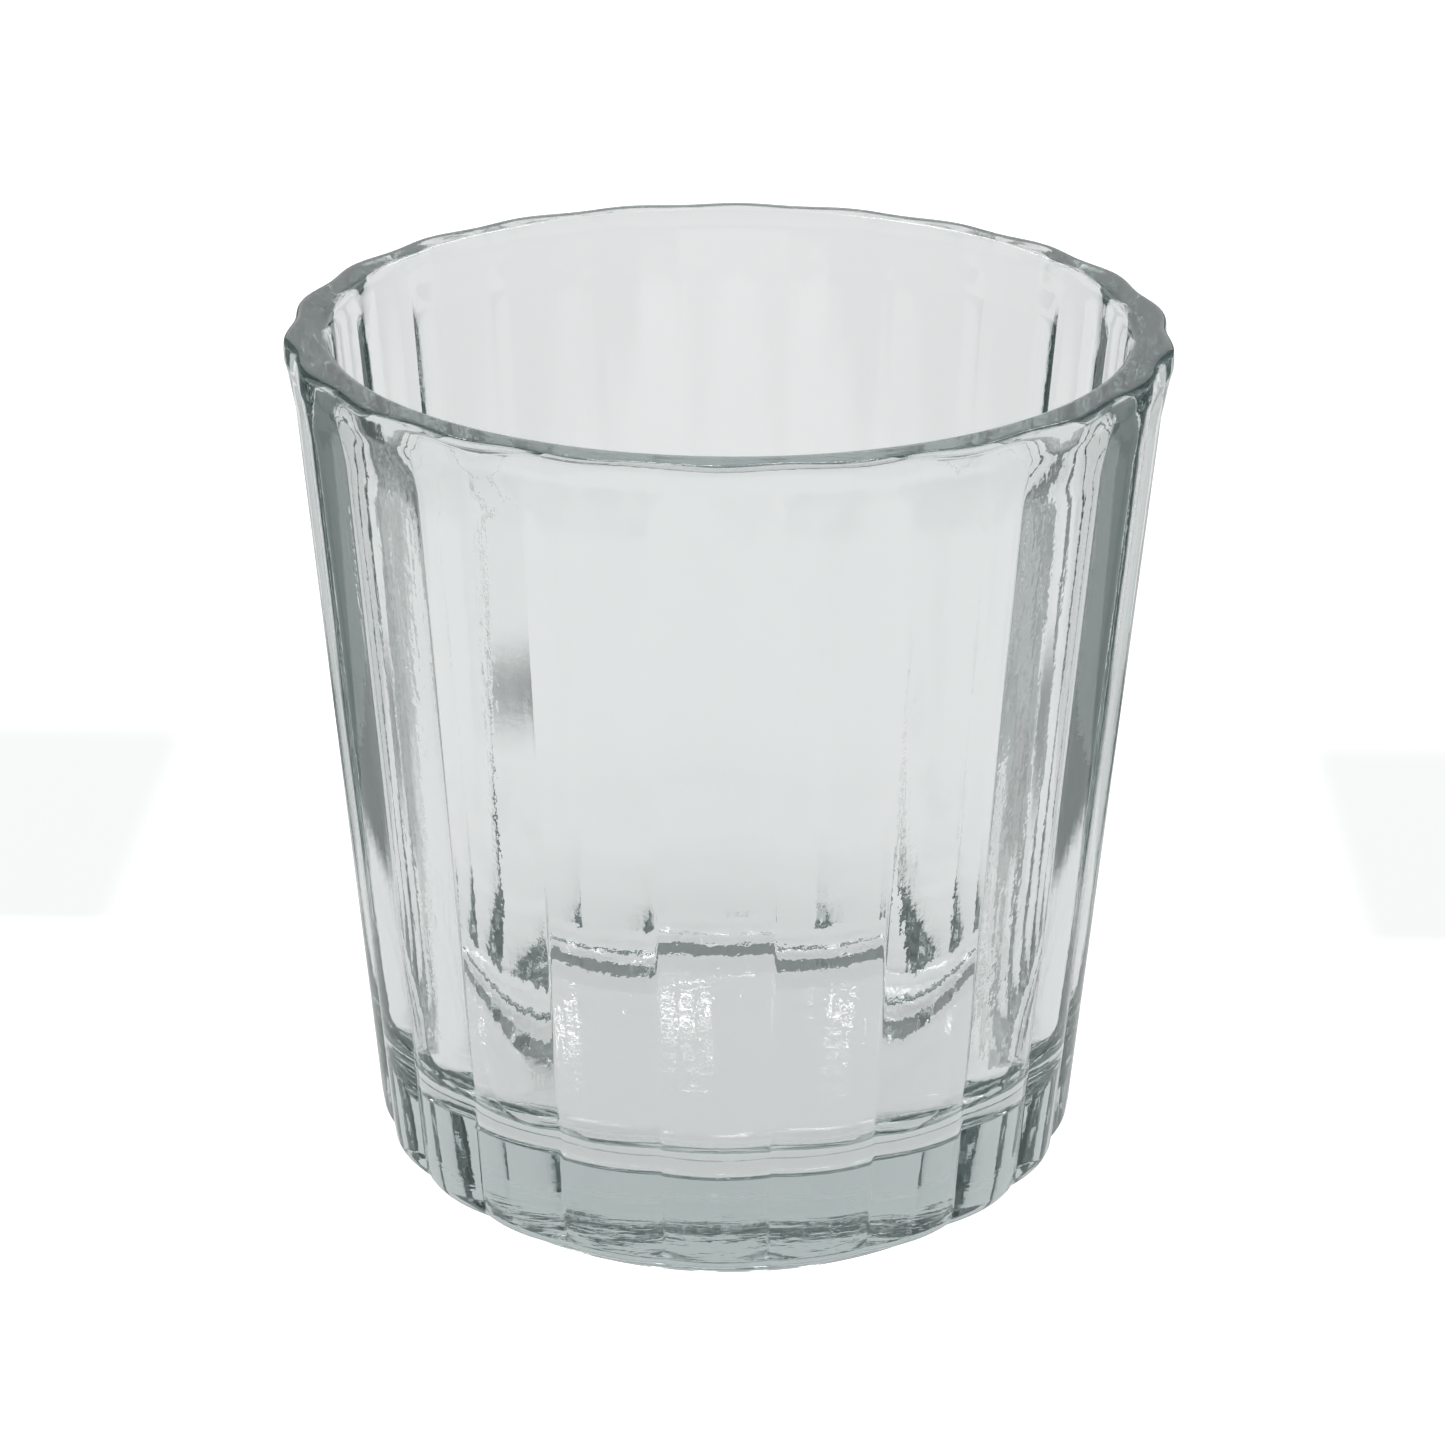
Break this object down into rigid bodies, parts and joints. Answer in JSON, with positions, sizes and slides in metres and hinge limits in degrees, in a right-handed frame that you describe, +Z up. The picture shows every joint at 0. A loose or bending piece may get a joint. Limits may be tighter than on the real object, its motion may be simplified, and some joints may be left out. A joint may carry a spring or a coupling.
{
  "type": "tealight holder",
  "caption": "Tapered cup of clear pressed glass with convex vertical ribs, a smooth round inside, a thick solid floor and a small round foot.",
  "frame": {"origin": "centre of the plane that the foot ring stands on", "axes": "+Z up the cup's axis, out of the open mouth; one rib is centred on +Y and one on -Y"},
  "size_m": [0.0702, 0.0706, 0.072],
  "materials": {
    "clear_glass": "glossy, clear with a faint grey-green tint"
  },
  "bodies": {
    "root": {"glass_cup": "clear_glass"}
  },
  "joints": []
}
